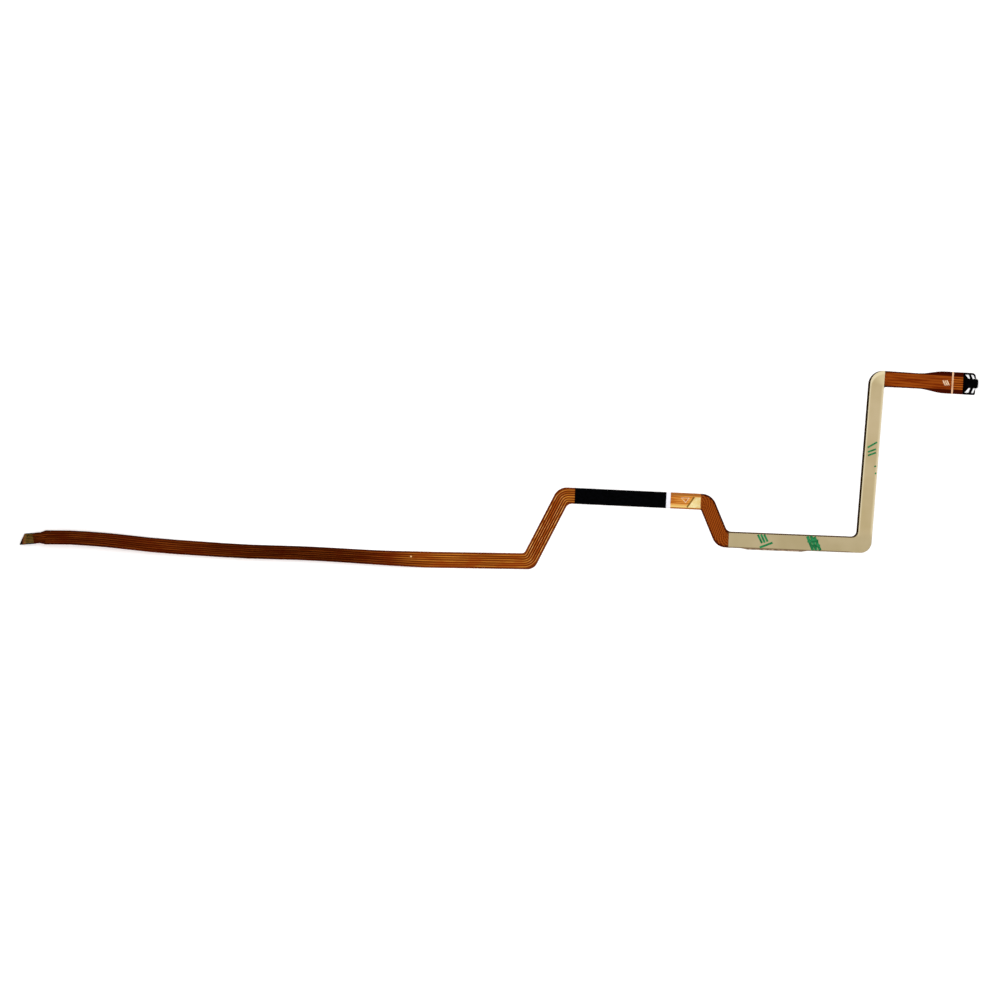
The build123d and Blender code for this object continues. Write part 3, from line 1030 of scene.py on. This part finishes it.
# %% Test dot on the free stretch
DOT_PLACE = (-24.22, -28.2)
DOT_RADIUS = 0.24
DOT_HEIGHT = 0.03
RAY_START = 1.0
film_tree = BVHTree.FromPolygons(
    [v.co.copy() for v in cover_film.data.vertices],
    [tuple(face.vertices) for face in cover_film.data.polygons],
)
above_dot = Vector((DOT_PLACE[0] * MM, DOT_PLACE[1] * MM, RAY_START))
spot, facing, *_ = film_tree.ray_cast(above_dot, Vector((0, 0, -1)))
tilt = facing.to_track_quat("Z", "Y").to_matrix().to_4x4()
stand = Matrix.Translation(spot + facing * DOT_HEIGHT * MM) @ tilt
dot = bmesh.new()
bmesh.ops.create_cone(
    dot,
    cap_ends=True,
    segments=20,
    radius1=DOT_RADIUS * MM,
    radius2=DOT_RADIUS * MM,
    depth=DOT_HEIGHT * MM,
    matrix=stand,
)
dot_finish = speckled("test_dot_tin", tone(226, 176, 120), tone(246, 206, 150), 2000.0, 0.4, metallic=0.3)
finished(dot, "test_dot", [dot_finish])

# %% [markdown]
# ## Floor, light and camera
#
# The floor is a plain white table, which glows a little so that shadows stay faint. The light on it comes
# from a wide lamp overhead that is left out of reflections. What the films reflect is the sky: bright
# straight above and dim towards the sides, like a soft box over a table. That, with the painted shade in the
# films, is what darkens the rolled part of the strip.

# %% Floor
FLOOR_SIDE = 3.0
FLOOR_DROP = 0.02 * MM
FLOOR_WHITE = 0.92
FLOOR_GLOW = 0.2
ground_shape = bmesh.new()
bmesh.ops.create_grid(ground_shape, x_segments=1, y_segments=1, size=FLOOR_SIDE / 2)
bmesh.ops.translate(ground_shape, vec=(0, 0, -FLOOR_DROP), verts=ground_shape.verts)
floor_mesh = bpy.data.meshes.new("floor")
ground_shape.to_mesh(floor_mesh)
ground_shape.free()
floor = bpy.data.objects.new("floor", floor_mesh)
bpy.context.scene.collection.objects.link(floor)
floor_finish = Finish("floor_white", 0.9, specular=0.0)
floor_finish.shader.inputs["Base Color"].default_value = (FLOOR_WHITE, FLOOR_WHITE, FLOOR_WHITE, 1)
floor_finish.shader.inputs["Emission Color"].default_value = (1, 1, 1, 1)
floor_finish.shader.inputs["Emission Strength"].default_value = FLOOR_GLOW
floor_mesh.materials.append(floor_finish.material)
print("the floor is", FLOOR_SIDE, "m wide")

# %% [markdown]
# The sky is a ramp of greys over the height of a direction, from the horizon to straight above. A studio
# picture could stand there, but five greys are enough for films that need a bright top and dim sides.

# %% Sky
SKY = [(0.0, 0.03), (0.46, 0.08), (0.60, 0.42), (0.80, 0.76), (0.94, 1.05)]
world = bpy.data.worlds.new("studio")
bpy.context.scene.world = world
world.use_nodes = True
sky = world.node_tree
background = sky.nodes["Background"]
direction = sky.nodes.new("ShaderNodeTexCoord")
upward = sky.nodes.new("ShaderNodeSeparateXYZ")
ramp = sky.nodes.new("ShaderNodeValToRGB")
sky.links.new(direction.outputs["Generated"], upward.inputs["Vector"])
sky.links.new(upward.outputs["Z"], ramp.inputs["Fac"])
sky.links.new(ramp.outputs["Color"], background.inputs["Color"])
ramp.color_ramp.elements[0].position = SKY[0][0]
ramp.color_ramp.elements[0].color = (SKY[0][1],) * 3 + (1,)
ramp.color_ramp.elements[1].position = SKY[-1][0]
ramp.color_ramp.elements[1].color = (SKY[-1][1],) * 3 + (1,)
for place, strength in SKY[1:-1]:
    ramp.color_ramp.elements.new(place).color = (strength,) * 3 + (1,)
print("greys in the sky:", len(ramp.color_ramp.elements))

# %% [markdown]
# The lamp is a wide disk straight above, because a wide lamp gives soft shadows. It is hidden from
# reflections, where it would be a hot spot in every film.

# %% Lamp
LAMP_HEIGHT = 1.0
LAMP_WIDTH = 1.2
LAMP_WATTS = 7.5
lamp_data = bpy.data.lights.new("overhead", "AREA")
lamp_data.shape = "DISK"
lamp_data.size = LAMP_WIDTH
lamp_data.energy = LAMP_WATTS
lamp = bpy.data.objects.new("overhead", lamp_data)
lamp.location = (0, 0, LAMP_HEIGHT)
lamp.visible_glossy = False
bpy.context.scene.collection.objects.link(lamp)
print("the lamp is", LAMP_WIDTH, "m wide at", LAMP_HEIGHT, "m")

# %% [markdown]
# The photograph looks straight down and shows no perspective, so the camera is orthographic. It is turned a
# little, so that the cable lies as it does there.

# %% Camera straight above
MM_PER_PIXEL = 0.288
FRAME_PIXELS = 1000
VIEW_MIDDLE = (0.74, -10.91)
VIEW_TURN = 2.3
CAMERA_HEIGHT = 0.95
camera_data = bpy.data.cameras.new("camera")
camera_data.type = "ORTHO"
camera_data.ortho_scale = MM_PER_PIXEL * FRAME_PIXELS * MM
camera = bpy.data.objects.new("camera", camera_data)
camera.location = (VIEW_MIDDLE[0] * MM, VIEW_MIDDLE[1] * MM, CAMERA_HEIGHT)
camera.rotation_euler = (0, 0, math.radians(VIEW_TURN))
bpy.context.scene.collection.objects.link(camera)
bpy.context.scene.camera = camera
bpy.context.scene.view_settings.view_transform = "Standard"
print("the camera sees", round(camera_data.ortho_scale / MM), "mm across")
